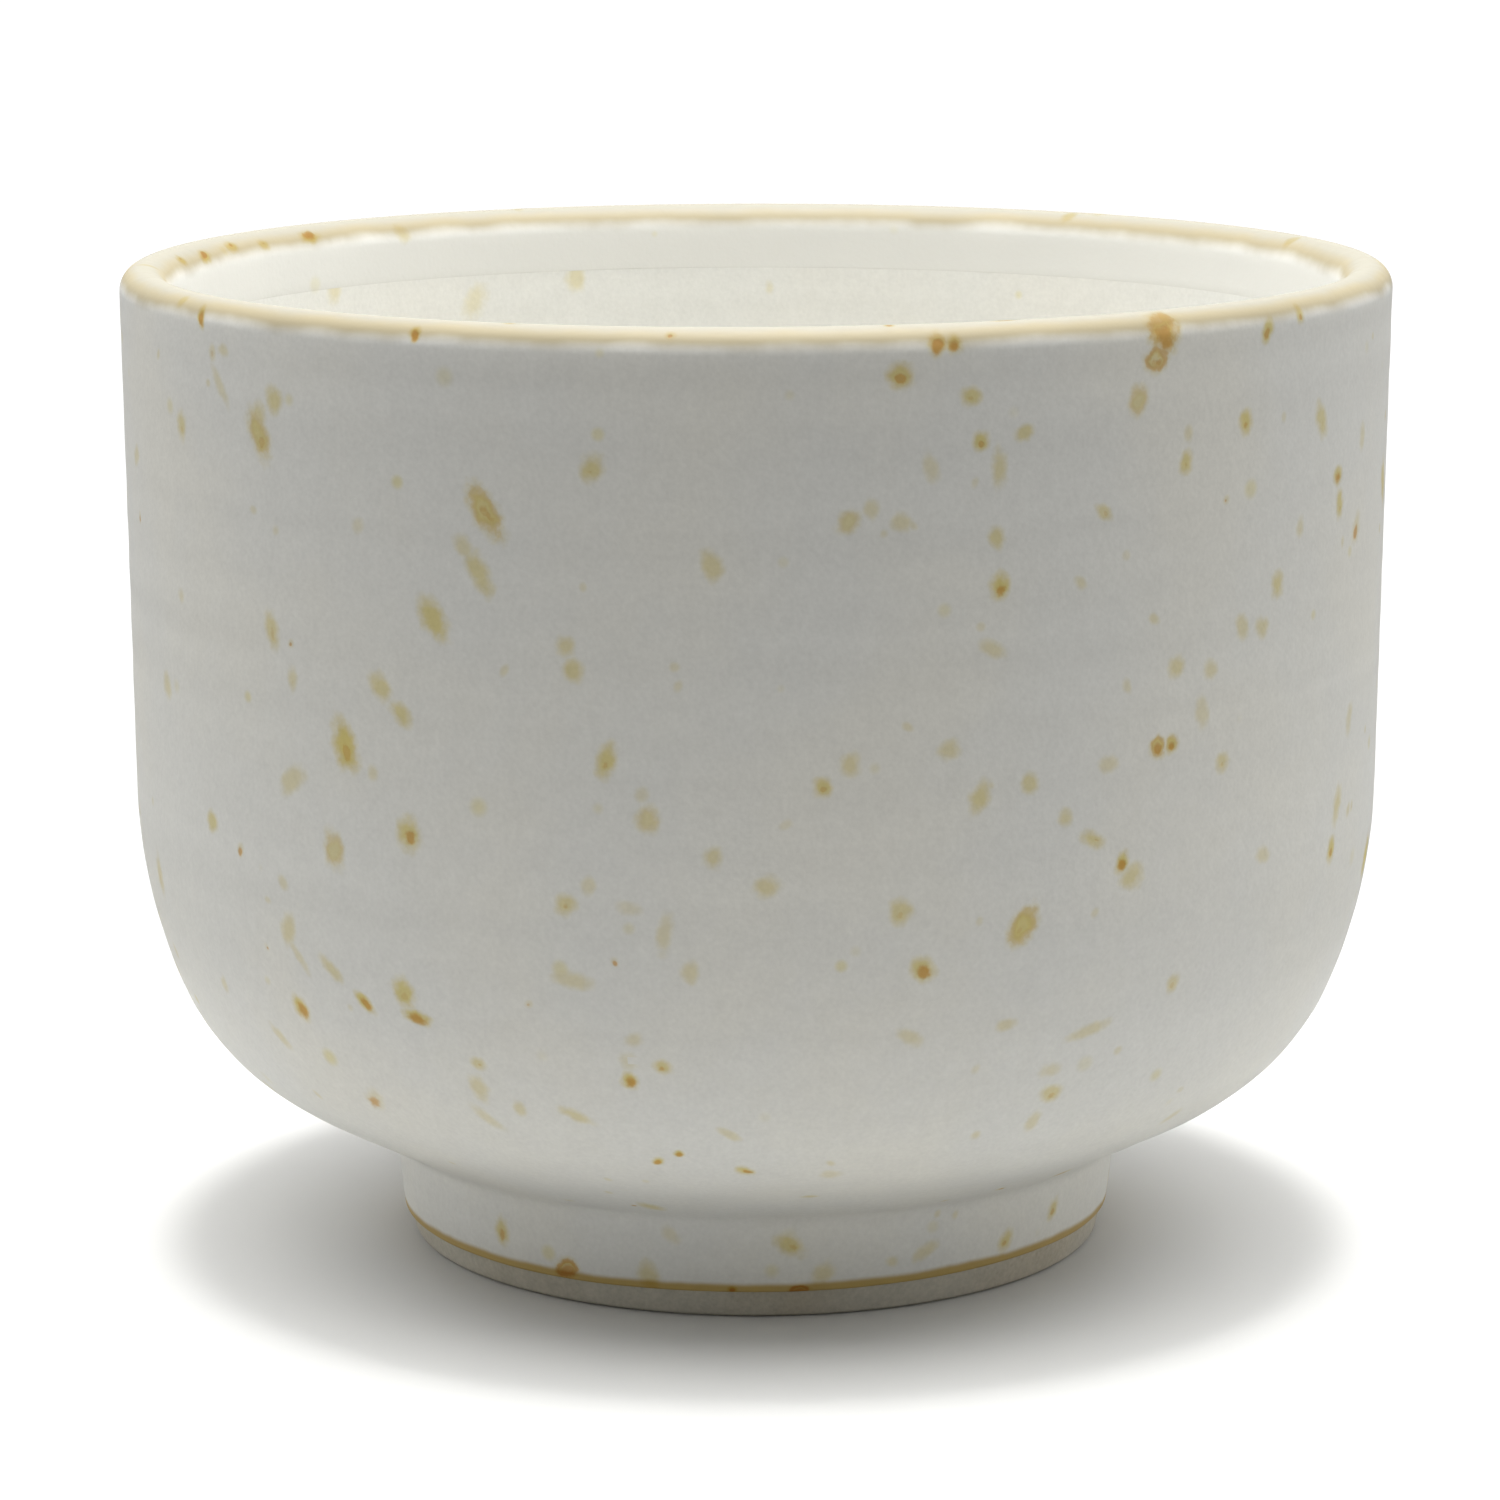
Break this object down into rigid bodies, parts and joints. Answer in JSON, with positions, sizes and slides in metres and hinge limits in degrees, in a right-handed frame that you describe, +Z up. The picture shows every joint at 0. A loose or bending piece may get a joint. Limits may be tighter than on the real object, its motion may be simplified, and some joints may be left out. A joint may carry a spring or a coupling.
{
  "type": "matcha bowl",
  "caption": "Straight-walled stoneware tea bowl with a rounded belly, a low ring foot and an iron-speckled off-white glaze.",
  "frame": {"origin": "centre of the foot ring's contact face, on the surface that the bowl stands on", "axes": "+Z up along the axis that the bowl was turned on; +X and +Y are any two directions across it"},
  "size_m": [0.116, 0.116, 0.091],
  "materials": {
    "bare_stoneware": "unglazed, fine grained, matt",
    "outer_glaze": "satin off-white glaze with iron specks, buff at the lip and ochre at the foot",
    "inner_glaze": "satin off-white glaze with iron specks",
    "well_glaze": "satin off-white glaze, thinner than outside"
  },
  "bodies": {
    "root": {"clay_body": "bare_stoneware", "foot_ring": "bare_stoneware", "outer_glaze": "outer_glaze", "inner_glaze": "inner_glaze", "well_glaze": "well_glaze"}
  },
  "joints": []
}
